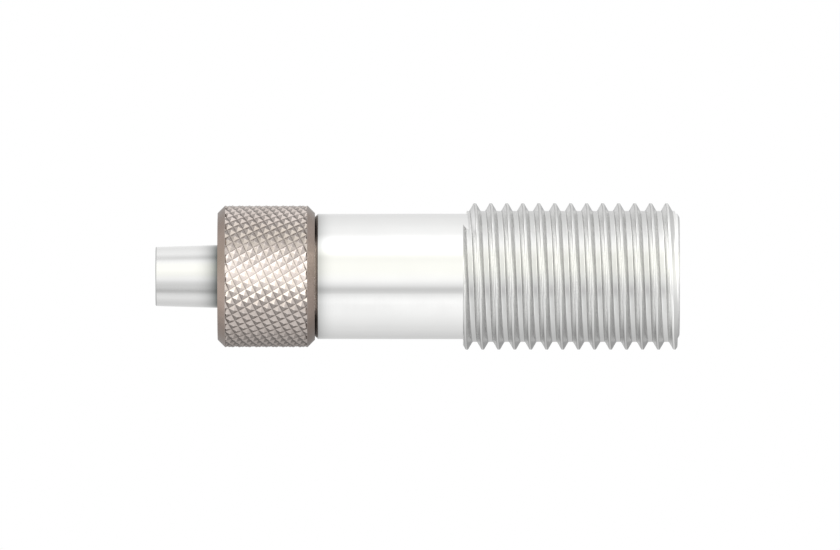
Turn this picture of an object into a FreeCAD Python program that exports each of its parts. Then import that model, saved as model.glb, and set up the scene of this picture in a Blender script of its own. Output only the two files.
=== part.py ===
import FreeCAD, Part
import math
import os

# A rotating male luer lock turned in one piece with a long male pipe thread. All lengths are in
# millimetres and all angles in degrees. The adapter stands on its threaded end: the origin is the
# centre of that end face, and +Z runs along the axis to the luer tip.

# Lengths along the axis, from the threaded end up
nose_length = 0.13
thread_length = 14.29
barrel_length = 9.83
collar_length = 6.48
cone_reach = 4.13

# Body diameters and edges
barrel_diameter = 8.36
barrel_edge_chamfer = 0.2
nose_face_diameter = 7.87

# Male thread, sixty-degree form
thread_pitch = 1.065
crest_diameter = 9.77
crest_flat = 0.145
root_flat = 0.32
flank_angle = 30.0
thread_start_angle = -43.5
start_overrun = 0.147
end_relief_turns = 0.5

# Luer cone, six per cent taper on diameter
cone_tip_diameter = 3.953
cone_taper = 0.06
cone_length = 8.4
cone_edge_break = 0.05

# Journal that the collar turns on
journal_diameter = 6.4
journal_edge_chamfer = 0.3
groove_floor_diameter = 5.9

# Flow passage
passage_diameter = 2.1
passage_mouth_chamfer = 0.2
counterbore_diameter = 5.2
counterbore_depth = 12.0
counterbore_mouth_chamfer = 0.3
drill_point_angle = 118.0

# Collar
cavity_diameter = 8.0
collar_wall = 0.595
collar_bevel = 0.51
knurl_depth = 0.14
flange_thickness = 1.1
cavity_mouth_chamfer = 0.08
flange_hole_chamfer = 0.1

# Diamond knurl: the two sets of grooves, each by its count and its axial spacing
shallow_groove_count = 46
shallow_groove_spacing = 1.0
steep_groove_count = 22
steep_groove_spacing = 0.577
knurl_facing_angle = -90.0

# Luer lock thread inside the collar, two starts
lock_thread_lead = 5.0
lock_thread_starts = 2
lock_crest_diameter = 7.0
lock_crest_width = 0.44
lock_base_width = 0.95
lock_thread_inset = 0.75
lock_thread_turns = 0.68
lock_start_angle = 20.0

# Split spring ring that keeps the collar on the journal
ring_height = 0.5
ring_thickness = 0.5
ring_gap_angle = 30.0
ring_gap_facing = 90.0

# Running clearances
collar_radial_clearance = 0.05
collar_end_play = 0.04
ring_end_play = 0.03
ring_seat_clearance = 0.01
ring_groove_clearance = 0.02
journal_lip = 0.12

# Working allowances for cutters, which leave no trace on the finished pieces
cutter_margin = 0.08
cutter_run_out = 1.0
sunk_root = 0.1
helix_span = 0.2
relief_spare_turns = 0.1
groove_spare_turns = 3
facet_join_tolerance = 0.0001

# Heights worked out from the lengths above
thread_bottom = nose_length
thread_top = thread_bottom + thread_length
shoulder = thread_top + barrel_length
collar_rear = shoulder + collar_end_play
collar_front = collar_rear + collar_length
flange_front = collar_rear + flange_thickness
tip = collar_front + cone_reach
ring_bottom = flange_front + ring_end_play
ring_top = ring_bottom + ring_height
journal_top = ring_top + ring_groove_clearance + journal_lip
cone_base = max(tip - cone_length, journal_top + journal_edge_chamfer)

# Diameters worked out from the form of the thread and of the collar's wall
thread_depth = (thread_pitch - crest_flat - root_flat) / 2 / math.tan(math.radians(flank_angle))
root_diameter = crest_diameter - 2 * thread_depth
knurl_tip_diameter = cavity_diameter + 2 * (collar_wall + knurl_depth)
collar_end_diameter = knurl_tip_diameter - 2 * collar_bevel

# Knurl lattice: its density, from the counts and spacings of its grooves, and its middle height
knurl_lattice = shallow_groove_count / steep_groove_spacing + steep_groove_count / shallow_groove_spacing
knurl_middle = collar_rear + collar_length / 2

AXIS_POINT = FreeCAD.Vector(0, 0, 0)
AXIS = FreeCAD.Vector(0, 0, 1)


def point_at(radius, angle, height):
    """A point given by its radius, its angle from +X and its height."""
    turn = math.radians(angle)
    return FreeCAD.Vector(radius * math.cos(turn), radius * math.sin(turn), height)


def turned(outline, angle=360):
    """A solid of revolution about Z from a closed outline of (radius, height) points."""
    points = [FreeCAD.Vector(radius, 0, height) for radius, height in outline]
    face = Part.Face(Part.makePolygon(points + points[:1]))
    return face.revolve(AXIS_POINT, AXIS, angle)


def screwed(shape, lead, turns):
    """A copy of a shape, turned about Z and raised as a right-handed screw of that lead would."""
    moved = shape.copy()
    moved.rotate(AXIS_POINT, AXIS, 360 * turns)
    moved.translate(FreeCAD.Vector(0, 0, lead * turns))
    return moved


def helical(section, lead, turns, start_angle, start_height):
    """A right-handed helical bar whose section is (radius, rise) points beside the helix.

    Its sides are ruled between the helices of its corners, one short span after another.
    """
    spans = math.ceil(turns / helix_span)
    span = turns / spans
    helices = []
    for radius, rise in section:
        helix = Part.makeHelix(lead, lead * span, radius).Edges[0]
        helix.translate(FreeCAD.Vector(0, 0, rise))
        helices.append(helix)
    strips = [Part.makeRuledSurface(low, high) for low, high in zip(helices, helices[1:] + helices[:1])]
    faces = []
    for index in range(spans):
        for strip in strips:
            faces.append(screwed(strip, lead, span * index))
    corners = [FreeCAD.Vector(radius, 0, rise) for radius, rise in section]
    cap = Part.Face(Part.makePolygon(corners + corners[:1]))
    shell = Part.makeShell(faces + [cap, screwed(cap, lead, turns)])
    shell.sewShape()
    bar = Part.Solid(shell)
    bar.rotate(AXIS_POINT, AXIS, start_angle)
    bar.translate(FreeCAD.Vector(0, 0, start_height))
    return bar


def body_core():
    """Everything on the body that a lathe turns, without its thread or its passage."""
    barrel = barrel_diameter / 2
    journal = journal_diameter / 2
    groove_floor = groove_floor_diameter / 2
    tip_radius = cone_tip_diameter / 2
    base_radius = tip_radius + cone_taper / 2 * (tip - cone_base)
    return turned([
        (0, 0),
        (nose_face_diameter / 2, 0),
        (barrel, nose_length),
        (barrel, shoulder - barrel_edge_chamfer),
        (barrel - barrel_edge_chamfer, shoulder),
        (journal, shoulder),
        (journal, ring_bottom - ring_groove_clearance),
        (groove_floor, ring_bottom - ring_groove_clearance),
        (groove_floor, ring_top + ring_groove_clearance),
        (journal, ring_top + ring_groove_clearance),
        (journal, journal_top),
        (journal - journal_edge_chamfer, journal_top + journal_edge_chamfer),
        (base_radius, cone_base),
        (tip_radius + cone_taper / 2 * cone_edge_break, tip - cone_edge_break),
        (tip_radius - cone_edge_break, tip),
        (0, tip),
    ])


def passage():
    """The through passage with its larger drilled bore at the threaded end."""
    small = passage_diameter / 2
    large = counterbore_diameter / 2
    point_length = (large - small) / math.tan(math.radians(drill_point_angle / 2))
    return turned([
        (0, -cutter_run_out),
        (large + counterbore_mouth_chamfer + cutter_run_out, -cutter_run_out),
        (large, counterbore_mouth_chamfer),
        (large, counterbore_depth),
        (small, counterbore_depth + point_length),
        (small, tip - passage_mouth_chamfer),
        (small + passage_mouth_chamfer + cutter_run_out, tip + cutter_run_out),
        (0, tip + cutter_run_out),
    ])


def thread_groove():
    """The helical groove between the turns of the male thread's ridge."""
    root = root_diameter / 2
    root_half = root_flat / 2
    outer_half = (thread_pitch - crest_flat / 2) / 2
    outer = root + (outer_half - root_half) / math.tan(math.radians(flank_angle))
    section = [(root, -root_half), (outer, -outer_half), (outer, outer_half), (root, root_half)]
    start_line = thread_top + start_overrun + thread_pitch / 2
    turns = math.ceil(thread_length / thread_pitch) + groove_spare_turns
    start_height = start_line - (turns - 1) * thread_pitch
    return helical(section, thread_pitch, turns, thread_start_angle, start_height)


def thread_relief(line_angle, line_height, turns, side):
    """Clears the sleeve on one side of a groove's middle line, where the ridge has ended."""
    inner = barrel_diameter / 2 - sunk_root
    outer = crest_diameter / 2 + 2 * cutter_margin
    section = [(inner, 0), (outer, 0), (outer, side * thread_pitch), (inner, side * thread_pitch)]
    return helical(section, thread_pitch, turns, line_angle, line_height)


def thread_sleeve():
    """The male thread: one ridge with a blunt start at the barrel and a blunt end at the nose."""
    crest = crest_diameter / 2
    sleeve = Part.makeCylinder(crest, thread_length, FreeCAD.Vector(0, 0, thread_bottom))
    start_line = thread_top + start_overrun - thread_pitch / 2
    start_turns = (thread_top - start_line) / thread_pitch + relief_spare_turns
    start_relief = thread_relief(thread_start_angle, start_line, start_turns, 1)
    ridge_turns = (thread_length + start_overrun) / thread_pitch
    end_turns = end_relief_turns + relief_spare_turns
    end_angle = thread_start_angle - 360 * (ridge_turns + end_turns)
    end_line = thread_bottom - relief_spare_turns * thread_pitch
    end_relief = thread_relief(end_angle, end_line, end_turns, -1)
    return sleeve.cut([thread_groove(), start_relief, end_relief])


def adapter_body():
    return body_core().fuse(thread_sleeve()).cut(passage())


def knurl_point(shallow, steep, radius):
    """Where the given lines of the two groove sets cross, and their turn and height there."""
    turn = (shallow / steep_groove_spacing - steep / shallow_groove_spacing) / knurl_lattice
    height = (steep_groove_count * shallow + shallow_groove_count * steep) / knurl_lattice
    return point_at(radius, knurl_facing_angle + 360 * turn, knurl_middle + height)


def knurl_row(shallow, height):
    """The first line of the steep grooves that crosses the given shallow groove above a height."""
    rise = (height - knurl_middle) * knurl_lattice
    return math.ceil((rise - steep_groove_count * shallow) / shallow_groove_count)


def knurled_bar():
    """A bar covered in four-sided points between the knurl's grooves."""
    root = knurl_tip_diameter / 2 - knurl_depth
    peak = knurl_tip_diameter / 2
    low = collar_rear + collar_bevel - shallow_groove_spacing
    high = collar_front - collar_bevel + cutter_margin

    def rows(shallow):
        return range(knurl_row(shallow, low), knurl_row(shallow, high))

    corners = {}
    points = []
    facets = []

    def corner(shallow, steep):
        turns = math.floor(shallow / shallow_groove_count)
        key = (shallow - turns * shallow_groove_count, steep + turns * steep_groove_count)
        if key not in corners:
            corners[key] = len(points)
            points.append(knurl_point(key[0], key[1], root))
        return corners[key]

    end_centres = []
    for height in (low, high):
        end_centres.append(len(points))
        points.append(FreeCAD.Vector(0, 0, height))

    for shallow in range(shallow_groove_count):
        for steep in rows(shallow):
            around = [(shallow, steep), (shallow + 1, steep), (shallow + 1, steep + 1), (shallow, steep + 1)]
            beyond = [(shallow, steep - 1), (shallow + 1, steep), (shallow, steep + 1), (shallow - 1, steep)]
            ring = [corner(*place) for place in around]
            apex = len(points)
            points.append(knurl_point(shallow + 0.5, steep + 0.5, peak))
            for side, (next_shallow, next_steep) in enumerate(beyond):
                start = ring[side]
                end = ring[(side + 1) % len(ring)]
                facets.append((start, end, apex))
                if next_steep not in rows(next_shallow):
                    facets.append((end, start, end_centres[0 if side in (0, 3) else 1]))
    surface = Part.Shape()
    surface.makeShapeFromMesh((points, facets), facet_join_tolerance)
    return Part.Solid(surface.Shells[0])


def knurl_stock():
    """The knurled bar between two plain rims, which stop the grooves where the bevels begin."""
    radius = knurl_tip_diameter / 2 + cutter_margin
    height = 2 * shallow_groove_spacing
    rear = Part.makeCylinder(radius, height, FreeCAD.Vector(0, 0, collar_rear + collar_bevel - height))
    front = Part.makeCylinder(radius, height, FreeCAD.Vector(0, 0, collar_front - collar_bevel))
    return knurled_bar().fuse([rear, front])


def collar_blank():
    """The collar's outer form without its knurl: two end faces and two broad bevels."""
    end = collar_end_diameter / 2
    half = collar_length / 2
    return turned([
        (0, collar_rear),
        (end, collar_rear),
        (end + half, collar_rear + half),
        (end, collar_front),
        (0, collar_front),
    ])


def collar_hollow():
    """The running hole through the collar's rear flange and the open cavity in front of it."""
    hole = journal_diameter / 2 + collar_radial_clearance
    cavity = cavity_diameter / 2
    return turned([
        (0, collar_rear - cutter_run_out),
        (hole + flange_hole_chamfer + cutter_run_out, collar_rear - cutter_run_out),
        (hole, collar_rear + flange_hole_chamfer),
        (hole, flange_front),
        (cavity, flange_front),
        (cavity, collar_front - cavity_mouth_chamfer),
        (cavity + cavity_mouth_chamfer + cutter_run_out, collar_front + cutter_run_out),
        (0, collar_front + cutter_run_out),
    ])


def lock_ridge(start):
    """One start of the luer lock thread, standing in from the cavity's wall."""
    base = cavity_diameter / 2 + sunk_root
    crest = lock_crest_diameter / 2
    base_half = lock_base_width / 2
    crest_half = lock_crest_width / 2
    section = [(crest, -crest_half), (base, -base_half), (base, base_half), (crest, crest_half)]
    angle = lock_start_angle + 360 * start / lock_thread_starts
    bottom = collar_front - lock_thread_inset - lock_thread_lead * lock_thread_turns
    return helical(section, lock_thread_lead, lock_thread_turns, angle, bottom)


def lock_ring():
    ridges = [lock_ridge(start) for start in range(lock_thread_starts)]
    return collar_blank().cut(collar_hollow()).fuse(ridges).common(knurl_stock())


def retaining_ring():
    """A flat spring ring in the journal's groove, open by a small gap."""
    inner = groove_floor_diameter / 2 + ring_seat_clearance
    outer = inner + ring_thickness
    corners = [(inner, ring_bottom), (outer, ring_bottom), (outer, ring_top), (inner, ring_top)]
    ring = turned(corners, 360 - ring_gap_angle)
    ring.rotate(AXIS_POINT, AXIS, ring_gap_facing + ring_gap_angle / 2)
    return ring


os.makedirs("parts", exist_ok=True)
for make in (adapter_body, lock_ring, retaining_ring):
    piece = make()
    piece.exportStep("parts/" + make.__name__ + ".step")
    print(make.__name__, len(piece.Solids), "solid,", len(piece.Faces), "faces, valid", piece.isValid(),
          "volume", round(piece.Volume, 3))
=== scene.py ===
# %% [markdown]
# # Dressing a luer to pipe thread adapter
#
# The imported model holds three solids: a turned body with a luer cone at one end and a long male
# thread at the other, a knurled collar that turns on it, and the split spring ring that keeps the
# collar on. Their sizes are right, but each is a cloud of loose triangles, and polished metal shows
# every one. So this lesson builds each solid again at the same size as one smooth closed mesh, and
# gives it the finish of the real piece, with some light and shade painted into its colours. The
# load comes first, because all places come from it.

# %% Load the imported model
import math

import bmesh
import bpy
from mathutils import Matrix, Vector


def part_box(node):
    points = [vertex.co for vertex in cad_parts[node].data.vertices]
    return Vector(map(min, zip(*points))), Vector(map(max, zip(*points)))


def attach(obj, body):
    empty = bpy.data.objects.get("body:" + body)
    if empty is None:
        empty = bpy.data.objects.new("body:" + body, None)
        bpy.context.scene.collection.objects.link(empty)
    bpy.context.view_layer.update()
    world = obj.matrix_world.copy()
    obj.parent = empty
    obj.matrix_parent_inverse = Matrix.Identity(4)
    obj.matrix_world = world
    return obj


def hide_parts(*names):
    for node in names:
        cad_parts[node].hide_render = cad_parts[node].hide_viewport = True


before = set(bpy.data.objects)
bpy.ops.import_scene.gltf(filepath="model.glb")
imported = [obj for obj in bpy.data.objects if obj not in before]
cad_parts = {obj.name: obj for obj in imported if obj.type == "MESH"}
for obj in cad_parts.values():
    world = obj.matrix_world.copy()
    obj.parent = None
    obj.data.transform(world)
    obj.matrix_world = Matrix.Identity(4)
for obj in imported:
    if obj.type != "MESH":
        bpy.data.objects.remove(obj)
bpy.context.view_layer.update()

print("nodes:", ", ".join(sorted(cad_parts)))

# %% [markdown]
# The adapter is only 35 mm long, and its finest edges are a few hundredths of a millimetre. Some
# mesh operators lose such small steps when they work in metres, so every mesh here is shaped in
# millimetres and scaled once, when it is handed over.

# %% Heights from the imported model, in millimetres
METRE = 1000.0


def node_box(node):
    """A node's lowest and highest corner in millimetres."""
    low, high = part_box(node)
    return low * METRE, high * METRE


body_low, body_high = node_box("adapter_body")
collar_low, collar_high = node_box("lock_ring")
ring_low, ring_high = node_box("retaining_ring")
end_face = body_low.z
tip = body_high.z
collar_rear = collar_low.z
collar_front = collar_high.z
ring_bottom = ring_low.z
ring_top = ring_high.z
print(f"tip at {tip:.3f} mm, collar from {collar_rear:.3f} to {collar_front:.3f} mm")

# %% [markdown]
# The sizes that a box can't tell are the maker's own: diameters, the form of the thread and the
# small edge breaks. They are the same real sizes that the solids have, apart from the slit behind
# the collar, which is narrower here, because light from behind would come through the full one.

# %% Sizes of the body, in millimetres
barrel_radius = 4.18
barrel_edge = 0.2
shoulder_gap = 0.01
nose_face_radius = 3.935
nose_length = 0.13
thread_length = 14.29
journal_radius = 3.2
journal_edge = 0.3
journal_lip = 0.12
groove_floor_radius = 2.95
groove_clearance = 0.02
cone_tip_radius = 1.9765
cone_taper = 0.06
cone_length = 8.4
cone_edge = 0.05
passage_radius = 1.05
passage_mouth = 0.2
counterbore_radius = 2.6
counterbore_depth = 12.0
counterbore_mouth = 0.3
drill_point_angle = 118.0

shoulder = collar_rear - shoulder_gap
thread_bottom = end_face + nose_length
thread_top = thread_bottom + thread_length
print(f"thread from {thread_bottom:.3f} to {thread_top:.3f} mm, shoulder at {shoulder:.3f} mm")

# %% Sizes of the male thread, in millimetres
thread_pitch = 1.065
crest_radius = 4.885
crest_flat = 0.145
root_flat = 0.32
flank_angle = 30.0
thread_start_angle = -43.5
start_overrun = 0.147
start_lean = 0.17
crest_round = 0.035
thread_depth = (thread_pitch - crest_flat - root_flat) / 2 / math.tan(math.radians(flank_angle))
root_radius = crest_radius - thread_depth
print(f"thread depth {thread_depth:.3f} mm")

# %% [markdown]
# ## Tools for turned work
#
# A lathe makes rings. In a mesh, a ring of edges that is extruded and then set to a new radius and
# height leaves exactly the surface that a turning tool would. So a turned piece grows from one rim
# to the next, and every point keeps its own angle round the axis.

# %% Rings that grow
HAIR = 0.001


def place(vert, radius, height, angle=None):
    """Moves a point to a radius and a height round the Z axis."""
    if angle is None:
        angle = math.atan2(vert.co.y, vert.co.x)
    vert.co = (radius * math.cos(angle), radius * math.sin(angle), height)


def extruded_rim(bm, rim):
    """Extrudes a closed rim of edges and returns the new rim and its points."""
    made = bmesh.ops.extrude_edge_only(bm, edges=rim)["geom"]
    verts = {part for part in made if isinstance(part, bmesh.types.BMVert)}
    edges = [part for part in made if isinstance(part, bmesh.types.BMEdge)]
    return [edge for edge in edges if all(vert in verts for vert in edge.verts)], verts


def grow(bm, rim, *outline):
    """Extrudes a rim along an outline of (radius, height) points and returns the last rim."""
    for radius, height in outline:
        rim, verts = extruded_rim(bm, rim)
        for vert in verts:
            place(vert, radius, height)
    return rim


def open_rims(bm, middle):
    """The open edges below and above a height."""
    rims = [edge for edge in bm.edges if edge.is_boundary]
    lower = [edge for edge in rims if edge.verts[0].co.z < middle]
    upper = [edge for edge in rims if edge.verts[0].co.z >= middle]
    return lower, upper


def everything(bm):
    """All the points, edges and faces of a mesh."""
    return bm.verts[:] + bm.edges[:] + bm.faces[:]


def cut_off(bm, height, side):
    """Cuts everything away on one side of a level plane: side 1 is above it, -1 below."""
    bmesh.ops.bisect_plane(bm, geom=everything(bm), dist=HAIR / 10, plane_co=(0, 0, height),
                           plane_no=(0, 0, side), clear_outer=True)


# %% [markdown]
# What winds about the axis, such as a thread, a knurl or a bent strip, comes from the spin
# operator. It turns some geometry about the axis and lifts it a little at each step, and it leaves
# either a skin between the steps or a copy at each of them. A bar is a closed section that is spun
# in this way, with its two open ends filled.

# %% Sections that wind
STEPS = 240


def chain(bm, points):
    """A chain of edges through (radius, height) points in the plane of +X."""
    verts = [bm.verts.new((radius, 0, height)) for radius, height in points]
    return [bm.edges.new(pair) for pair in zip(verts, verts[1:])]


def turn_round(bm, verts, degrees):
    """Turns some points about the axis."""
    turn = Matrix.Rotation(math.radians(degrees), 3, "Z")
    bmesh.ops.rotate(bm, cent=(0, 0, 0), matrix=turn, verts=verts)


def wind(bm, geom, angle, rise, steps, copies=False):
    """Spins some geometry about the axis by an angle in radians, with a rise at each step."""
    bmesh.ops.spin(bm, geom=geom, cent=(0, 0, 0), axis=(0, 0, 1), dvec=(0, 0, rise),
                   angle=angle, steps=steps, use_duplicate=copies)


def wound_bar(section, start_angle, turns, rise=0.0):
    """A closed section wound about the axis from an angle in degrees, with its ends filled."""
    bm = bmesh.new()
    edges = chain(bm, section)
    bm.edges.new((edges[-1].verts[1], edges[0].verts[0]))
    turn_round(bm, bm.verts, start_angle)
    steps = round(turns * STEPS / 2)
    wind(bm, bm.verts[:] + bm.edges[:], 2 * math.pi * turns, rise / steps, steps)
    bmesh.ops.holes_fill(bm, edges=[edge for edge in bm.edges if edge.is_boundary])
    return bm


print("a full turn has", STEPS, "steps, and a bar has half as many")

# %% [markdown]
# Smooth shading blends the normals of the faces round a corner, and with plain blending a small
# bevel bends the light on the wide flat beside it. The cure is to let the larger face win. Blender
# has a modifier for that, but it gives up on faces as tiny as these, so the few lines below do the
# same: each corner takes the mean of the faces round it, weighed by the square of their areas, and
# faces across a sharp edge are left out.

# %% Even normals
def even_normals(bm, sharp):
    """One normal for each corner of each face, in the mesh's order."""
    limit = math.cos(math.radians(sharp))
    weights = {face: face.calc_area() ** 2 for face in bm.faces}
    normals = []
    for face in bm.faces:
        for vert in face.verts:
            total = Vector()
            for other in vert.link_faces:
                if other.normal.dot(face.normal) > limit:
                    total += other.normal * weights[other]
            normals.append(total.normalized())
    return normals


# %% Handing a mesh over
def piece_from(bm, name, body, node, material, sharp=35.0):
    """Makes a piece in metres from a bmesh in millimetres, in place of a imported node."""
    bmesh.ops.recalc_face_normals(bm, faces=bm.faces)
    for face in bm.faces:
        face.smooth = True
    normals = even_normals(bm, sharp)
    open_edges = sum(1 for edge in bm.edges if not edge.is_manifold)
    bmesh.ops.scale(bm, vec=Vector((1, 1, 1)) / METRE, verts=bm.verts)
    mesh = bpy.data.meshes.new(name)
    bm.to_mesh(mesh)
    bm.free()
    mesh.normals_split_custom_set(normals)
    mesh.materials.append(material)
    piece = bpy.data.objects.new(name, mesh)
    bpy.context.scene.collection.objects.link(piece)
    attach(piece, body)
    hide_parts(node)
    triangles = sum(len(face.vertices) - 2 for face in mesh.polygons)
    print(name, triangles, "triangles,", open_edges, "open edges")


# %% [markdown]
# ## Shader helpers
#
# A material is a graph, and a graph reads best when each line adds one node. The helper below adds
# a node and fills its sockets: a number sets a value and another node's socket makes a link.

# %% Nodes in one line each
def add(tree, kind, inputs=None, **settings):
    """Adds a node, sets its properties, and fills its inputs with values or links."""
    node = tree.nodes.new(kind)
    for name, value in settings.items():
        setattr(node, name, value)
    for key, value in (inputs or {}).items():
        if isinstance(value, bpy.types.NodeSocket):
            tree.links.new(value, node.inputs[key])
        else:
            node.inputs[key].default_value = value
    return node


def maths(tree, operation, first, second=0.0, clamp=False):
    """One Math node's result."""
    inputs = {0: first, 1: second}
    return add(tree, "ShaderNodeMath", inputs, operation=operation, use_clamp=clamp).outputs[0]


def fade(tree, value, start, end, low=0.0, high=1.0):
    """A smooth change from low to high while the value goes from start to end."""
    inputs = {"Value": value, "From Min": start, "From Max": end, "To Min": low, "To Max": high}
    node = add(tree, "ShaderNodeMapRange", inputs, interpolation_type="SMOOTHSTEP")
    return node.outputs["Result"]


def blended(tree, factor, first, second, blend_type="MIX"):
    """One Mix Color node's result; its colour sockets are inputs 6 and 7 and output 2."""
    inputs = {"Factor": factor, 6: first, 7: second}
    return add(tree, "ShaderNodeMix", inputs, data_type="RGBA", blend_type=blend_type).outputs[2]


# %% [markdown]
# Every pattern on these pieces reads Object coordinates, which lie still on the metal however it
# turns. Two measures are all that turned work needs: how high a point is, and how far it is from
# the axis. A fade between two distances then tells a crest from a root.

# %% Where a point is
def object_axes(tree):
    """A point's Object coordinates, as three sockets, in metres."""
    place_node = add(tree, "ShaderNodeTexCoord")
    return add(tree, "ShaderNodeSeparateXYZ", {0: place_node.outputs["Object"]}).outputs


def axis_distance(tree):
    """A point's distance from the Z axis, in metres."""
    axes = object_axes(tree)
    flat = add(tree, "ShaderNodeCombineXYZ", {0: axes[0], 1: axes[1]})
    inputs = {0: flat.outputs[0]}
    return add(tree, "ShaderNodeVectorMath", inputs, operation="LENGTH").outputs["Value"]


def off_axis(tree, inner, outer):
    """A mask that goes from 0 to 1 between two distances from the axis, in millimetres."""
    return fade(tree, axis_distance(tree), inner / METRE, outer / METRE)


# %% [markdown]
# ## What all turned metal shares
#
# An effect that several metals share is a node group with its own sockets. It is built once, and
# each material places it with other values. A turning tool leaves rings that run round the axis, so
# their pattern depends on the distance from the axis and on the height, never on the angle. The
# first group measures both in millimetres.

# %% Rings left by the turning tool
def new_group(name, inputs, outputs):
    """An empty shader group with named sockets, and its input and output nodes."""
    group = bpy.data.node_groups.new(name, "ShaderNodeTree")
    for label, default in inputs:
        socket = group.interface.new_socket(label, in_out="INPUT", socket_type="NodeSocketFloat")
        socket.default_value = default
    for label in outputs:
        group.interface.new_socket(label, in_out="OUTPUT", socket_type="NodeSocketFloat")
    return group, group.nodes.new("NodeGroupInput"), group.nodes.new("NodeGroupOutput")


def turning_marks_group():
    """Fine rings round the axis: a height for the bump and a mask for the roughness."""
    sockets = [("Rings per mm", 9.0), ("Wander", 0.4)]
    group, given, result = new_group("turning_marks", sockets, ["Height", "Mask"])
    step = maths(group, "MULTIPLY", given.outputs["Rings per mm"], METRE)
    out = maths(group, "MULTIPLY", axis_distance(group), step)
    up = maths(group, "MULTIPLY", object_axes(group)[2], step)
    where = add(group, "ShaderNodeCombineXYZ", {0: out, 1: up}).outputs[0]
    fine = {"Vector": where, "Scale": 1.0, "Detail": 3.0, "Roughness": 0.6}
    rings = add(group, "ShaderNodeTexNoise", fine).outputs[0]
    coarse = {"Vector": where, "Scale": 0.13, "Detail": 2.0}
    wide = add(group, "ShaderNodeTexNoise", coarse).outputs[0]
    inputs = {"Factor": given.outputs["Wander"], "A": rings, "B": wide}
    mixed = add(group, "ShaderNodeMix", inputs).outputs[0]
    group.links.new(rings, result.inputs["Height"])
    group.links.new(mixed, result.inputs["Mask"])
    return group


turning_marks = turning_marks_group()
print("shared effect:", turning_marks.name)

# %% [markdown]
# Fingers leave a thin uneven film on a polished fitting. It is too faint to see as a colour, but it
# dulls the gloss a little in soft patches, and that is what makes metal look handled.

# %% Film left by handling
def handling_film_group():
    """Soft patches a few millimetres wide."""
    sockets = [("Patch size", 3.0), ("Contrast", 0.25)]
    group, given, result = new_group("handling_film", sockets, ["Mask"])
    where = add(group, "ShaderNodeTexCoord").outputs["Object"]
    scale = maths(group, "DIVIDE", METRE, given.outputs["Patch size"])
    inputs = {"Vector": where, "Scale": scale, "Detail": 4.0, "Roughness": 0.55, "Distortion": 0.6}
    patches = add(group, "ShaderNodeTexNoise", inputs).outputs[0]
    low = maths(group, "SUBTRACT", 0.5, given.outputs["Contrast"])
    high = maths(group, "ADD", 0.5, given.outputs["Contrast"])
    group.links.new(fade(group, patches, low, high), result.inputs["Mask"])
    return group


handling_film = handling_film_group()
print("shared effect:", handling_film.name)

# %% [markdown]
# Painted shade, a darker rim and a painted highlight lie at heights where something ends: beside
# the collar, at the tip and at the thread's end. The third group is full at one height and fades
# out to both sides of it, first fast and then slowly.

# %% A band at one height
band_falloff = 2.7


def height_band_group():
    """A mask that is 1 at a height along the axis and fades out over a reach, in millimetres."""
    sockets = [("Level", 0.0), ("Reach", 1.0)]
    group, given, result = new_group("height_band", sockets, ["Mask"])
    height = maths(group, "MULTIPLY", object_axes(group)[2], METRE)
    away = maths(group, "ABSOLUTE", maths(group, "SUBTRACT", height, given.outputs["Level"]))
    share = maths(group, "DIVIDE", away, given.outputs["Reach"], clamp=True)
    mask = maths(group, "POWER", maths(group, "SUBTRACT", 1.0, share), band_falloff)
    group.links.new(mask, result.inputs["Mask"])
    return group


height_band = height_band_group()
print("shared effect:", height_band.name)

# %% [markdown]
# The helpers below place those groups in a material, start a metal, and feed its roughness and its
# bump. A roughness is a base with a share of each mask on top, and a bump has its depth in
# millimetres, like everything else here.

# %% Starting a metal
def effect(tree, group, **values):
    """Adds a shared effect with its own values; an underscore stands for a space."""
    node = add(tree, "ShaderNodeGroup", node_tree=group)
    for name, value in values.items():
        node.inputs[name.replace("_", " ")].default_value = value
    return node


def band(tree, level, reach):
    """The mask of a band at one height."""
    return effect(tree, height_band, Level=level, Reach=reach).outputs["Mask"]


def new_metal(name):
    """A new material with a metallic shader, and its tree."""
    material = bpy.data.materials.new(name)
    material.use_nodes = True
    tree = material.node_tree
    shader = tree.nodes["Principled BSDF"]
    shader.inputs["Metallic"].default_value = 1.0
    return material, tree, shader


def roughened(tree, shader, base, shares):
    """Feeds the shader's roughness with a base and a share of each mask."""
    total = base
    for mask, share in shares:
        total = maths(tree, "ADD", maths(tree, "MULTIPLY", mask, share), total)
    tree.links.new(total, shader.inputs["Roughness"])


def bumped(tree, shader, height, depth):
    """Feeds a height to the shader's normal, with its depth in millimetres."""
    inputs = {"Height": height, "Strength": 1.0, "Distance": depth / METRE}
    tree.links.new(add(tree, "ShaderNodeBump", inputs).outputs[0], shader.inputs["Normal"])


# %% [markdown]
# ## The body's finish
#
# The body is bright plated brass: almost white, nearly a mirror, with faint rings from the lathe
# under the plating. The thread is a little rougher than the turned faces. Its colours are painted
# light: the flank that looks towards the collar has a painted highlight, and the flank that looks
# towards the thread's end, the crests and the roots are painted darker, as painted shade. The
# distance from the axis tells the roots, flanks and crests apart. The two flanks are told apart by
# where a point lies beside the crest, whose line climbs by one pitch in each turn. Towards its end
# the thread has a painted highlight that makes it brighter.

# %% Colours of the thread
plating_clean = (0.68, 0.68, 0.675, 1)
plating_handled = (0.65, 0.65, 0.645, 1)
# A painted highlight, at the thread's end and as the painted reflection in the corner behind the
# collar.
painted_highlight_white = (0.95, 0.95, 0.94, 1)
# The flanks, crests and roots are one plating; these colours are painted highlight and painted
# shade.
flank_painted_highlight = (0.88, 0.88, 0.875, 1)
flank_painted_shade = (0.53, 0.53, 0.525, 1)
crest_and_root_painted_shade = (0.51, 0.51, 0.505, 1)

thread_rises = (barrel_radius + 0.02, barrel_radius + 0.1)
root_ends = (root_radius + 0.03, root_radius + 0.1)
crest_begins = (crest_radius - 0.09, crest_radius - 0.03)
# Reach and strength of the painted highlight at the thread's end.
end_highlight_reach = 2.5
end_highlight_strength = 0.6


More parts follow.
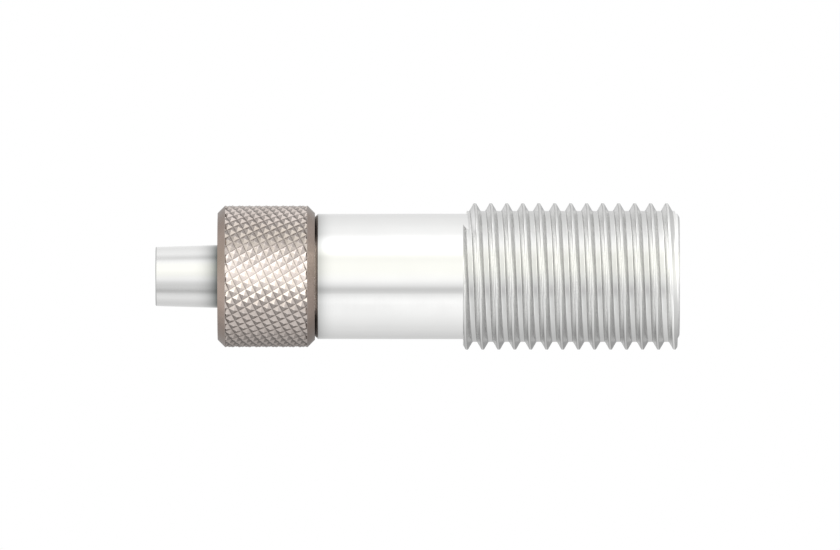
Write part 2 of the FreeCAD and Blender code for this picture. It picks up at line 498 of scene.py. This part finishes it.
def below_crest(tree):
    """A mask of what lies less than half a pitch below the crest's line."""
    axes = object_axes(tree)
    turns = maths(tree, "DIVIDE", maths(tree, "ARCTAN2", axes[1], axes[0]), 2 * math.pi)
    pitches = maths(tree, "DIVIDE", axes[2], thread_pitch / METRE)
    line = (thread_top + start_overrun) / thread_pitch - thread_start_angle / 360
    phase = maths(tree, "SUBTRACT", maths(tree, "SUBTRACT", pitches, turns), line)
    return maths(tree, "GREATER_THAN", maths(tree, "FRACT", phase), 0.5)


def thread_painted_light(tree, thread, colour):
    """Painted light on the thread's flanks, crests, roots and end, over a plating's colour."""
    flank = maths(tree, "SUBTRACT", off_axis(tree, *root_ends), off_axis(tree, *crest_begins))
    flat = maths(tree, "SUBTRACT", thread, flank)
    painted_shade_flank = maths(tree, "MULTIPLY", flank, below_crest(tree))
    # A painted highlight on the flanks, and painted shade on the flanks that face the end and on
    # crests and roots.
    colour = blended(tree, thread, colour, flank_painted_highlight)
    colour = blended(tree, painted_shade_flank, colour, flank_painted_shade)
    colour = blended(tree, flat, colour, crest_and_root_painted_shade)
    # A painted highlight towards the thread's end.
    end_highlight = maths(tree, "MULTIPLY", band(tree, end_face, end_highlight_reach), end_highlight_strength)
    return blended(tree, end_highlight, colour, painted_highlight_white)


# %% [markdown]
# Beside the collar the plating is painted darker, as painted shade, and the tip's rim is darker
# too.
# In the corner behind the collar the painted shadow is black, apart from two sides, where a painted
# reflection makes it light.

# %% Painted shade in the corners
# Painted shade beside the collar and the darker tip rim share one grey; the black is a painted
# shadow.
painted_shade_and_rim_grey = (0.10, 0.11, 0.105, 1)
painted_shadow_black = (0.04, 0.04, 0.04, 1)
rear_shade_reach = 1.6
rear_shade_strength = 0.7
front_shade_reach = 1.9
dark_rim_reach = 0.12
tip_rim_begins = (cone_tip_radius - 0.09, cone_tip_radius - 0.04)
black_shadow_reach = 0.4
lit_half_width = 1.9
black_from = 3.1


def corner_painted_shade(tree, colour):
    """Painted shade and reflection by the collar and a darker tip rim over a plating's colour."""
    rear = maths(tree, "MULTIPLY", band(tree, shoulder, rear_shade_reach), rear_shade_strength)
    film = maths(tree, "MAXIMUM", rear, band(tree, collar_front, front_shade_reach))
    rim = off_axis(tree, *tip_rim_begins)
    dark_tip_rim = maths(tree, "MULTIPLY", band(tree, tip, dark_rim_reach), rim)
    # Painted shade beside the collar, and a darker rim at the tip.
    colour = blended(tree, maths(tree, "MAXIMUM", film, dark_tip_rim), colour, painted_shade_and_rim_grey)
    # Behind the collar: a black painted shadow on the sides facing +X and -X, a painted reflection
    # facing -Y and +Y.
    corner = band(tree, shoulder, black_shadow_reach)
    sideways = maths(tree, "ABSOLUTE", object_axes(tree)[0])
    shadowed_sides = fade(tree, sideways, lit_half_width / METRE, black_from / METRE)
    black = maths(tree, "MULTIPLY", corner, shadowed_sides)
    lit_middle = maths(tree, "SUBTRACT", corner, black)
    colour = blended(tree, lit_middle, colour, painted_highlight_white)
    return blended(tree, black, colour, painted_shadow_black)


# %% Bright plating
def bright_plating():
    """Polished silvery plating with faint turning rings and painted light and shade."""
    material, tree, shader = new_metal("bright_plating")
    marks = effect(tree, turning_marks, Rings_per_mm=9.0, Wander=0.5)
    film = effect(tree, handling_film, Patch_size=4.0, Contrast=0.22).outputs["Mask"]
    thread = off_axis(tree, *thread_rises)
    half_film = maths(tree, "MULTIPLY", film, 0.5)
    colour = blended(tree, half_film, plating_clean, plating_handled)
    colour = corner_painted_shade(tree, thread_painted_light(tree, thread, colour))
    tree.links.new(colour, shader.inputs["Base Color"])
    rings = marks.outputs["Mask"]
    roughened(tree, shader, base=0.07, shares=((film, 0.03), (rings, 0.05), (thread, 0.13)))
    bumped(tree, shader, marks.outputs["Height"], depth=0.0006)
    return material


# %% [markdown]
# ## The body
#
# Everything on the body is turned from one bar, so it is one mesh. Its hardest part is the thread,
# which isn't a stack of rings but one ridge that winds down the bar. A short chain of edges has the
# section of one pitch: half a root, a flank, the crest, a flank and half a root. One spin with a
# small drop at each step makes one turn of the screw, and a second spin with a step of one pitch
# leaves copies of that turn. Each turn begins on the points where the one before it ends, and
# merging the doubles makes one skin of them. The last turn is only a part of one.
#
# Two level cuts trim the skin to the thread's length. The ragged rims that are left are exactly the
# outlines of the thread's two ends, with the blunt start among them, so the rest of the body can
# grow from them: inward to the barrel, and then ring by ring round the whole piece.

# %% The thread's skin
def wind_ridge(bm, middle, steps):
    """Winds the section of one pitch down the bar from a height, and returns what it made."""
    old = set(everything(bm))
    half_pitch = thread_pitch / 2
    half_crest = crest_flat / 2
    foot = half_pitch - root_flat / 2
    section = [(root_radius, middle + half_pitch), (root_radius, middle + foot),
               (crest_radius, middle + half_crest), (crest_radius, middle - half_crest),
               (root_radius, middle - foot), (root_radius, middle - half_pitch)]
    corners = [edge.verts[1] for edge in chain(bm, section)[:-1]]
    bmesh.ops.bevel(bm, geom=corners, offset=crest_round, offset_type="OFFSET", segments=2,
                    profile=0.5, affect="VERTICES", material=-1)
    verts = [vert for vert in bm.verts if vert not in old]
    edges = [edge for edge in bm.edges if edge not in old]
    turn_round(bm, verts, thread_start_angle)
    wind(bm, verts + edges, -2 * math.pi * steps / STEPS, -thread_pitch / STEPS, steps)
    return [part for part in everything(bm) if part not in old]


def thread_skin(bm):
    """One ridge wound down the bar from its blunt start, trimmed to the thread's length."""
    middle = thread_top + start_overrun
    steps = round((thread_length + start_overrun) / thread_pitch * STEPS)
    turns = steps // STEPS
    wind_ridge(bm, middle - turns * thread_pitch, steps % STEPS)
    whole_turn = wind_ridge(bm, middle, STEPS)
    copies = turns - 1
    wind(bm, whole_turn, -2 * math.pi * copies, -thread_pitch, copies, copies=True)
    bmesh.ops.remove_doubles(bm, verts=bm.verts, dist=HAIR)
    cut_off(bm, thread_top, 1)
    cut_off(bm, thread_bottom, -1)
    bmesh.ops.remove_doubles(bm, verts=bm.verts, dist=HAIR)


def sink_to_barrel(bm, rim, level):
    """Extrudes the thread's ragged rim inward to the barrel; the blunt walls lean a little."""
    rim, verts = extruded_rim(bm, rim)
    for vert in verts:
        lean = start_lean * (level - vert.co.z) / barrel_radius
        place(vert, barrel_radius, vert.co.z, math.atan2(vert.co.y, vert.co.x) + lean)
    return rim


# %% The turned body round it
def turned_body():
    """The whole body, grown from the two ends of its thread."""
    bm = bmesh.new()
    thread_skin(bm)
    lower, upper = open_rims(bm, (thread_bottom + thread_top) / 2)
    print("thread:", len(bm.verts), "points, rims of", len(lower), "and", len(upper), "edges")

    nose = sink_to_barrel(bm, lower, thread_bottom)
    nose = grow(bm, nose, (barrel_radius, thread_bottom - HAIR), (nose_face_radius, end_face))

    groove_top = ring_top + groove_clearance
    groove_bottom = ring_bottom - groove_clearance
    journal_top = groove_top + journal_lip
    cone_base = max(tip - cone_length, journal_top + journal_edge)
    cone_base_radius = cone_tip_radius + cone_taper / 2 * (tip - cone_base)
    drill_angle = math.radians(drill_point_angle / 2)
    drill_point = (counterbore_radius - passage_radius) / math.tan(drill_angle)
    barrel = sink_to_barrel(bm, upper, thread_top)
    bore = grow(bm, barrel,
                (barrel_radius, shoulder - barrel_edge),
                (barrel_radius - barrel_edge, shoulder),
                (journal_radius, shoulder),
                (journal_radius, groove_bottom),
                (groove_floor_radius, groove_bottom),
                (groove_floor_radius, groove_top),
                (journal_radius, groove_top),
                (journal_radius, journal_top),
                (journal_radius - journal_edge, journal_top + journal_edge),
                (cone_base_radius, cone_base),
                (cone_tip_radius + cone_taper / 2 * cone_edge, tip - cone_edge),
                (cone_tip_radius - cone_edge, tip),
                (passage_radius + passage_mouth, tip),
                (passage_radius, tip - passage_mouth),
                (passage_radius, counterbore_depth + drill_point),
                (counterbore_radius, counterbore_depth),
                (counterbore_radius, end_face + counterbore_mouth),
                (counterbore_radius + counterbore_mouth, end_face))
    bmesh.ops.bridge_loops(bm, edges=nose + bore)
    return bm


piece_from(turned_body(), "turned_body", "body", "adapter_body", bright_plating())

# %% [markdown]
# ## The collar's finish
#
# The collar is a warmer, duller metal than the body, and a little redder on its smooth bevels than
# on its knurl; the knurl's less red colour is painted light, for the whiter light that its faces
# reflect. The grooves of the knurl have a thin line of painted shade, and its points have a
# painted highlight that makes them a shade brighter.

# %% Sizes of the collar, in millimetres
knurl_tip_radius = 4.735
knurl_depth = 0.14
knurl_root_radius = knurl_tip_radius - knurl_depth
collar_bevel = 0.51
flange_thickness = 1.1
hole_radius = 3.25
hole_edge = 0.1
cavity_radius = 4.0
cavity_edge = 0.08

shallow_grooves = 46
shallow_spacing = 1.0
steep_grooves = 22
steep_spacing = 0.577
knurl_facing = -90.0
print(f"knurl from {knurl_root_radius:.3f} to {knurl_tip_radius:.3f} mm off the axis")

# %% Masks of the knurl
bevel_clean = (0.33, 0.268, 0.235, 1)
bevel_handled = (0.30, 0.238, 0.205, 1)
# The knurl's less red colours are painted light, for the whiter light that its faces reflect.
knurl_cooler_light = (0.34, 0.305, 0.285, 1)
knurl_cooler_light_handled = (0.31, 0.275, 0.255, 1)
# A painted highlight on the knurl's points, and painted shade in its grooves.
point_painted_highlight = (0.46, 0.42, 0.40, 1)
groove_painted_shade = (0.035, 0.03, 0.028, 1)
groove_shade_strength = 0.4

point_begins = (knurl_tip_radius - 0.4 * knurl_depth, knurl_tip_radius)
groove_begins = (knurl_root_radius - 0.02, knurl_root_radius - 0.01)
groove_ends = (knurl_root_radius + 0.002, knurl_root_radius + 0.022)
bevel_fades = collar_bevel - 0.03
knurl_full = collar_bevel + 0.02


def between_bevels(tree):
    """A mask of the knurled stretch between the collar's two bevels."""
    height = object_axes(tree)[2]
    rear = fade(tree, height, (collar_rear + bevel_fades) / METRE,
                (collar_rear + knurl_full) / METRE)
    front = fade(tree, height, (collar_front - bevel_fades) / METRE,
                 (collar_front - knurl_full) / METRE)
    return maths(tree, "MULTIPLY", rear, front)


# %% Warm satin steel
def warm_satin():
    """Pinkish brown satin metal; the knurl's points have painted highlights, its grooves painted
    shade.
    """
    material, tree, shader = new_metal("warm_satin")
    film = effect(tree, handling_film, Patch_size=1.5, Contrast=0.25).outputs["Mask"]
    marks = effect(tree, turning_marks, Rings_per_mm=14.0, Wander=0.4)
    knurl = between_bevels(tree)
    smooth = blended(tree, film, bevel_clean, bevel_handled)
    knurled = blended(tree, film, knurl_cooler_light, knurl_cooler_light_handled)
    colour = blended(tree, knurl, smooth, knurled)
    # A painted highlight on the knurl's points.
    half_point_highlight = maths(tree, "MULTIPLY", off_axis(tree, *point_begins), 0.5)
    colour = blended(tree, half_point_highlight, colour, point_painted_highlight)
    # Painted shade along the floors of the knurl's grooves.
    floor = maths(tree, "SUBTRACT", off_axis(tree, *groove_begins), off_axis(tree, *groove_ends))
    groove_shade = maths(tree, "MULTIPLY", maths(tree, "MULTIPLY", floor, knurl), groove_shade_strength)
    colour = blended(tree, groove_shade, colour, groove_painted_shade)
    tree.links.new(colour, shader.inputs["Base Color"])
    roughened(tree, shader, base=0.18, shares=((film, 0.05), (marks.outputs["Mask"], 0.10)))
    bumped(tree, shader, marks.outputs["Height"], depth=0.001)
    return material


# %% [markdown]
# ## The collar
#
# A diamond knurl is two sets of grooves that cross. What stands between them is one small pyramid,
# repeated. Here a four-cornered face is laid between two grooves of each set and poked, and its
# middle point is raised to the collar's radius. Spin can also leave copies behind, so one call
# makes a leaning column of pyramids and a second call winds that column round the collar.
#
# Two level cuts trim the knurl, and the rest of the collar grows from its rims as on the body.

# %% The knurl
lattice = shallow_grooves / steep_spacing + steep_grooves / shallow_spacing
knurl_margin = 2 * shallow_spacing


def knurl_step(shallow, steep):
    """The turn in radians and the rise in millimetres from one crossing to another."""
    turn = 2 * math.pi * (shallow / steep_spacing - steep / shallow_spacing) / lattice
    rise = (steep_grooves * shallow + shallow_grooves * steep) / lattice
    return turn, rise


def place_crossing(vert, shallow, steep, radius):
    """Moves a point to where two lines of the knurl cross, counted from the collar's middle."""
    turn, rise = knurl_step(shallow, steep)
    middle = (collar_rear + collar_front) / 2
    place(vert, radius, middle + rise, math.radians(knurl_facing) + turn)


def repeat(bm, shallow, steep, copies):
    """Leaves copies of all there is along one of the knurl's two directions."""
    turn, rise = knurl_step(shallow, steep)
    wind(bm, everything(bm), turn * copies, rise, copies, copies=True)


def knurl_skin(bm, low, high):
    """Pyramids all round the collar between two heights."""
    half_height = (high - low) / 2 + knurl_margin
    first = math.floor(-half_height * lattice / shallow_grooves) - steep_grooves
    last = math.ceil(half_height * lattice / shallow_grooves)
    corners = []
    for shallow, steep in ((0, first), (1, first), (1, first + 1), (0, first + 1)):
        corners.append(bm.verts.new())
        place_crossing(corners[-1], shallow, steep, knurl_root_radius)
    peak = bmesh.ops.poke(bm, faces=[bm.faces.new(corners)])["verts"][0]
    place_crossing(peak, 0.5, first + 0.5, knurl_tip_radius)
    repeat(bm, 0, 1, last - first)
    repeat(bm, 1, 0, shallow_grooves - 1)
    bmesh.ops.remove_doubles(bm, verts=bm.verts, dist=HAIR)
    cut_off(bm, high, 1)
    cut_off(bm, low, -1)


# %% The collar round it
def knurled_collar():
    """The collar, grown from the two rims of its knurl."""
    bm = bmesh.new()
    low = collar_rear + collar_bevel
    high = collar_front - collar_bevel
    knurl_skin(bm, low, high)
    lower, upper = open_rims(bm, (low + high) / 2)
    print("knurl:", len(bm.faces), "faces, rims of", len(lower), "and", len(upper), "edges")
    flange_front = collar_rear + flange_thickness
    end_radius = knurl_tip_radius - collar_bevel
    rear = grow(bm, lower,
                (knurl_tip_radius, low),
                (end_radius, collar_rear),
                (hole_radius + hole_edge, collar_rear),
                (hole_radius, collar_rear + hole_edge),
                (hole_radius, flange_front))
    front = grow(bm, upper,
                 (knurl_tip_radius, high),
                 (end_radius, collar_front),
                 (cavity_radius + cavity_edge, collar_front),
                 (cavity_radius, collar_front - cavity_edge),
                 (cavity_radius, flange_front))
    bmesh.ops.bridge_loops(bm, edges=rear + front)
    return bm


# %% [markdown]
# Inside the mouth of the collar stand the two ridges that the lugs of a female luer hub wind under.
# Each is a bar with a four-sided section that rises as it winds, sunk a little into the wall.

# %% The luer lock thread
lock_lead = 5.0
lock_starts = 2
lock_crest_radius = 3.5
lock_crest_width = 0.44
lock_base_width = 0.95
lock_inset = 0.75
lock_turns = 0.68
lock_start_angle = 20.0
lock_sunk = 0.1


def add_lock_ridge(bm, start):
    """One start of the luer lock thread, standing in from the cavity's wall."""
    rise = lock_lead * lock_turns
    bottom = collar_front - lock_inset - rise
    base = cavity_radius + lock_sunk
    half_crest = lock_crest_width / 2
    half_base = lock_base_width / 2
    section = [(lock_crest_radius, bottom - half_crest), (base, bottom - half_base),
               (base, bottom + half_base), (lock_crest_radius, bottom + half_crest)]
    angle = lock_start_angle + 360 * start / lock_starts
    ridge = wound_bar(section, angle, lock_turns, rise)
    mesh = bpy.data.meshes.new("lock_ridge")
    ridge.to_mesh(mesh)
    ridge.free()
    bm.from_mesh(mesh)
    bpy.data.meshes.remove(mesh)


collar = knurled_collar()
for start in range(lock_starts):
    add_lock_ridge(collar, start)
piece_from(collar, "knurled_collar", "collar", "lock_ring", warm_satin(),
           sharp=20.0)

# %% [markdown]
# ## The spring ring
#
# The ring is a flat strip bent on edge, open by a small gap so that it can be sprung over the
# journal. Its section is wound by less than a full turn, its ends are filled and its edges are
# rounded, because such strip is rolled and has no sharp corner. The steel is plain, with the long
# scratches of rolled strip.

# %% Spring steel
steel_clean = (0.60, 0.60, 0.60, 1)
steel_handled = (0.48, 0.47, 0.46, 1)


def spring_steel():
    """Plain spring steel with the long scratches of rolled strip."""
    material, tree, shader = new_metal("spring_steel")
    marks = effect(tree, turning_marks, Rings_per_mm=20.0, Wander=0.3)
    film = effect(tree, handling_film, Patch_size=0.8, Contrast=0.3).outputs["Mask"]
    colour = blended(tree, film, steel_clean, steel_handled)
    tree.links.new(colour, shader.inputs["Base Color"])
    roughened(tree, shader, base=0.22, shares=((marks.outputs["Mask"], 0.15),))
    bumped(tree, shader, marks.outputs["Height"], depth=0.001)
    return material


# %% The spring ring
ring_inner_radius = 2.96
ring_outer_radius = 3.46
ring_gap_angle = 30.0
ring_gap_facing = 90.0
ring_round = 0.04
ring_corner = 45.0


def spring_ring():
    """A flat split ring with rounded edges."""
    section = [(ring_inner_radius, ring_bottom), (ring_outer_radius, ring_bottom),
               (ring_outer_radius, ring_top), (ring_inner_radius, ring_top)]
    start_angle = ring_gap_facing + ring_gap_angle / 2
    bm = wound_bar(section, start_angle, (360 - ring_gap_angle) / 360)
    bmesh.ops.recalc_face_normals(bm, faces=bm.faces)
    limit = math.radians(ring_corner)
    corners = [edge for edge in bm.edges if edge.calc_face_angle() > limit]
    bmesh.ops.bevel(bm, geom=corners, offset=ring_round, offset_type="OFFSET", segments=2,
                    profile=0.5, affect="EDGES", material=-1)
    return bm


piece_from(spring_ring(), "spring_ring", "body", "retaining_ring", spring_steel())

# %% [markdown]
# ## The studio
#
# Polished metal has hardly any look of its own: it shows the room. The room here is a white tent
# with greyer stretches, and the handiest way to write such a room down is the old one of a mirror
# ball. Each wall is a band of the ball as it is seen from the -Y side: how far along the adapter's
# axis it begins and ends, from -1 to 1, and how bright it is at some angles round the axis, from
# -90 at the bottom of the picture to 90 at its top. A surface that is tilted like some place on the
# ball reflects what that place does. So the barrel and the thread's crests and roots show the
# middle band, the cone shows the band beside it, and the four faces of a knurl's pyramid show the
# bands near 0.23 and 0.45. The flanks of the thread send light on to each other, and the bands
# near 0.33 are what they show after the second bounce.

# %% Walls of the tent
tent_walls = [
    # bevels that lean towards the threaded end
    (-1.00, -0.62, [(-90, 0.28), (-44, 0.42), (-32, 0.57), (-21, 0.62), (-11, 0.72), (0, 0.92),
        (9, 0.94), (18, 0.82), (29, 0.66), (41, 0.63), (52, 0.57), (90, 0.40)]),
    # knurl faces that lean far towards the threaded end
    (-0.54, -0.41, [(-90, 0.30), (-52, 0.35), (-40, 0.80), (-30, 1.25), (-14, 1.30), (-6, 1.40),
        (2, 2.00), (10, 2.70), (28, 2.20), (36, 1.30), (45, 0.90), (66, 0.75), (90, 0.65)]),
    # what one flank of the thread shows
    (-0.36, -0.31, [(-90, 0.35), (-55, 0.45), (-35, 1.00), (-15, 1.10), (0, 0.90), (30, 0.65),
        (45, 0.60), (60, 0.45), (90, 0.40)]),
    # knurl faces that lean a little towards the threaded end
    (-0.26, -0.20, [(-90, 0.40), (-66, 0.65), (-50, 0.70), (-43, 0.95), (-36, 1.40), (-28, 2.25),
        (-18, 2.10), (-10, 1.40), (0, 1.45), (8, 1.85), (40, 1.90), (60, 1.30), (90, 0.90)]),
    # the barrel, crests and roots, which don't lean
    (-0.10, 0.01, [(-90, 0.50), (-72, 0.60), (-60, 0.74), (-52, 0.81), (-40, 0.94), (-27, 1.07),
        (-22, 1.06), (-17, 0.87), (-12.5, 0.60), (-9, 0.78), (-5, 0.97), (-1, 1.06), (10, 1.06),
        (18, 1.05), (25, 1.40), (35, 1.35), (42, 1.04), (53, 0.92), (68, 0.80), (78, 0.70),
        (90, 0.60)]),
    # the cone
    (0.02, 0.08, [(-90, 0.62), (-61, 0.64), (-51, 0.72), (-43, 0.78), (-35, 0.66), (-29, 0.46),
        (-22, 0.59), (-16, 0.65), (-10, 0.78), (-5, 0.90), (1, 0.95), (7, 1.01), (12, 1.07),
        (18, 1.07), (24, 1.03), (30, 0.92), (37, 0.68), (45, 0.86), (53, 0.88), (64, 0.81),
        (90, 0.75)]),
    # knurl faces that lean a little towards the tip
    (0.20, 0.26, [(-90, 0.50), (-50, 0.70), (-40, 0.85), (-28, 1.10), (-18, 1.30), (-6, 1.40),
        (0, 2.00), (5, 3.80), (30, 4.00), (46, 3.40), (52, 1.50), (60, 1.20), (90, 1.00)]),
    # what the other flank of the thread shows
    (0.30, 0.34, [(-90, 0.35), (-50, 0.55), (-35, 1.00), (-15, 1.10), (0, 0.90), (30, 0.70),
        (45, 0.65), (60, 0.45), (90, 0.40)]),
    # knurl faces that lean far towards the tip
    (0.39, 0.50, [(-90, 0.35), (-64, 0.40), (-46, 0.55), (-32, 0.75), (-24, 1.00), (-17, 1.70),
        (-11, 2.40), (6, 2.20), (12, 1.60), (18, 1.10), (24, 0.88), (50, 0.85), (65, 0.65),
        (90, 0.60)]),
    # bevels that lean towards the tip
    (0.62, 1.00, [(-90, 0.33), (-44, 0.53), (-32, 0.72), (-20, 0.91), (-10, 0.93), (8, 0.80),
        (18, 0.78), (29, 0.76), (41, 0.69), (52, 0.58), (90, 0.40)]),
]
brightest_wall = 4.0
room_light = 1.4
print("the tent has", len(tent_walls), "walls")

# %% [markdown]
# A colour ramp holds the levels of one wall. Its colours end at 1, so the levels are divided by the
# brightest one and multiplied back at the end. A small part of the walls is a little creamy. Only
# reflections see the tent: the camera sees plain white, and plain white light falls on dull things.

# %% The room in the mirror ball
white = (1, 1, 1, 1)
cream = (1, 1, 0.95, 1)
cream_begins, cream_full, cream_fades, cream_ends = -8, 8, 18, 32


def mirror_ball(tree):
    """Where the ball reflects a direction: how far along the axis, and the angle round it."""
    direction = add(tree, "ShaderNodeTexCoord").outputs["Generated"]
    half_way = add(tree, "ShaderNodeVectorMath", {0: direction, 1: (0, -1, 0)}, operation="ADD")
    ball = add(tree, "ShaderNodeVectorMath", {0: half_way.outputs[0]}, operation="NORMALIZE")
    axes = add(tree, "ShaderNodeSeparateXYZ", {0: ball.outputs[0]}).outputs
    front = maths(tree, "MULTIPLY", axes[1], -1.0)
    return axes[2], maths(tree, "ARCTAN2", axes[0], front)


def wall_ramp(tree, angle, stops):
    """The brightness of one wall by the angle round the axis."""
    share = maths(tree, "ADD", maths(tree, "DIVIDE", angle, math.pi), 0.5)
    ramp = add(tree, "ShaderNodeValToRGB", {0: share})
    ramp.color_ramp.interpolation = "CARDINAL"
    elements = ramp.color_ramp.elements
    for degrees, _ in stops[1:-1]:
        elements.new(degrees / 180 + 0.5)
    for element, (_, level) in zip(elements, stops):
        element.color = [level / brightest_wall] * 3 + [1]
    return ramp.outputs[0]


def creamy(tree, angle):
    """The tint of the walls by the angle round the axis."""
    rise = fade(tree, angle, math.radians(cream_begins), math.radians(cream_full))
    fall = fade(tree, angle, math.radians(cream_ends), math.radians(cream_fades))
    return blended(tree, maths(tree, "MULTIPLY", rise, fall), white, cream)


def studio_world():
    """White for the camera and for light on dull things, and the tent for reflections."""
    world = bpy.data.worlds.new("white_tent")
    world.use_nodes = True
    tree = world.node_tree
    along, angle = mirror_ball(tree)
    walls = wall_ramp(tree, angle, tent_walls[0][2])
    for (_, below, _), (above, _, stops) in zip(tent_walls, tent_walls[1:]):
        step = fade(tree, along, below, above)
        walls = blended(tree, step, walls, wall_ramp(tree, angle, stops))
    tinted = blended(tree, 1.0, walls, creamy(tree, angle), "MULTIPLY")
    inputs = {0: tinted, "Scale": brightest_wall * room_light}
    seen = add(tree, "ShaderNodeVectorMath", inputs, operation="SCALE").outputs[0]
    reflected = add(tree, "ShaderNodeLightPath").outputs["Is Glossy Ray"]
    colour = blended(tree, reflected, white, seen)
    tree.links.new(colour, tree.nodes["Background"].inputs["Color"])
    bpy.context.scene.world = world
    return world


print("studio:", studio_world().name)

# %% [markdown]
# The floor is a plain white sheet under the threaded end. For the camera it glows white by itself
# to a share, so that it melts into the background and still keeps the adapter's shadow. The share
# is whole far out, and also where the sheet is seen edge-on, because the shadow would be no more
# than a thin grey line there.

# %% The floor
paper_colour = (0.95, 0.95, 0.95, 1)
paper_roughness = 0.9
floor_half_size = 0.6
shadow_radius = 0.08
white_radius = 0.4
glow_near = 0.6
edge_on_from = 0.90
edge_on_full = 0.97


def white_paper():
    """White paper that glows to a share where the camera sees it."""
    material = bpy.data.materials.new("white_paper")
    material.use_nodes = True
    tree = material.node_tree
    paper = tree.nodes["Principled BSDF"]
    paper.inputs["Base Color"].default_value = paper_colour
    paper.inputs["Roughness"].default_value = paper_roughness
    glow = add(tree, "ShaderNodeEmission")
    path = add(tree, "ShaderNodeLightPath").outputs
    seen = maths(tree, "MAXIMUM", path["Is Camera Ray"], path["Is Transmission Ray"])
    place_node = add(tree, "ShaderNodeTexCoord")
    inputs = {0: place_node.outputs["Object"]}
    away = add(tree, "ShaderNodeVectorMath", inputs, operation="LENGTH").outputs["Value"]
    far = fade(tree, away, shadow_radius, white_radius, glow_near, 1.0)
    facing = add(tree, "ShaderNodeLayerWeight", {"Blend": 0.5}).outputs["Facing"]
    edge_on = fade(tree, facing, edge_on_from, edge_on_full)
    share = maths(tree, "MULTIPLY", seen, maths(tree, "MAXIMUM", far, edge_on))
    mixed = add(tree, "ShaderNodeMixShader", {0: share, 1: paper.outputs[0], 2: glow.outputs[0]})
    tree.links.new(mixed.outputs[0], tree.nodes["Material Output"].inputs["Surface"])
    return material


def floor_sheet():
    """A white sheet at the height of the threaded end."""
    bm = bmesh.new()
    bmesh.ops.create_grid(bm, x_segments=1, y_segments=1, size=floor_half_size)
    bmesh.ops.translate(bm, vec=(0, 0, end_face / METRE), verts=bm.verts)
    mesh = bpy.data.meshes.new("floor_sheet")
    bm.to_mesh(mesh)
    bm.free()
    mesh.materials.append(white_paper())
    floor = bpy.data.objects.new("floor_sheet", mesh)
    floor.visible_glossy = False
    bpy.context.scene.collection.objects.link(floor)
    return floor


print("floor:", floor_sheet().name)

# %% [markdown]
# One soft light from the front gives the floor its faint shadow. The metal doesn't reflect it,
# because the tent already holds all that the metal should show.

# %% The key light
def soft_light(name, azimuth, elevation, distance, size, power):
    """A square soft light that faces the middle of the adapter; azimuth 0 is the -Y side."""
    data = bpy.data.lights.new(name, "AREA")
    data.shape = "SQUARE"
    data.size = size
    data.energy = power
    light = bpy.data.objects.new(name, data)
    turn = math.radians(azimuth)
    lift = math.radians(elevation)
    level = math.cos(lift)
    away = Vector((math.sin(turn) * level, -math.cos(turn) * level, math.sin(lift)))
    middle = Vector((0, 0, tip / 2 / METRE))
    light.location = middle + away * distance
    light.rotation_mode = "QUATERNION"
    light.rotation_quaternion = (-away).to_track_quat("-Z", "Y")
    light.visible_camera = False
    light.visible_glossy = False
    bpy.context.scene.collection.objects.link(light)
    print("light:", light.name, power, "watts")


soft_light("key_light", azimuth=45, elevation=30, distance=0.4, size=0.25, power=1.2)

# %% [markdown]
# ## The camera
#
# The photograph shows the adapter lying with its axis level, seen square from the side and with no
# visible perspective. The adapter stands here, so the camera is rolled a quarter turn, and a very
# long lens takes the perspective away. Two marks place it: how many pixels a millimetre takes, and
# where the threaded end and the axis are in the picture.

# %% The camera
picture_width = 840
picture_height = 550
pixels_per_mm = 15.0
end_column = 679.3
axis_row = 276.4
camera_distance = 1.5


def long_lens_camera():
    """A rolled camera on the -Y side that sees the adapter's tip on its left."""
    data = bpy.data.cameras.new("long_lens")
    camera = bpy.data.objects.new("long_lens", data)
    width = picture_width / pixels_per_mm / METRE
    data.lens = data.sensor_width * camera_distance / width
    data.clip_start = 0.1
    data.clip_end = 10
    along = (end_column - picture_width / 2) / pixels_per_mm / METRE
    up = (axis_row - picture_height / 2) / pixels_per_mm / METRE
    columns = Matrix(((0, 1, 0), (0, 0, -1), (-1, 0, 0)))
    camera.matrix_world = Matrix.Translation((up, -camera_distance, along)) @ columns.to_4x4()
    bpy.context.scene.collection.objects.link(camera)
    bpy.context.scene.camera = camera
    return camera


print("lens", round(long_lens_camera().data.lens), "mm")
bpy.context.scene.view_settings.view_transform = "Standard"
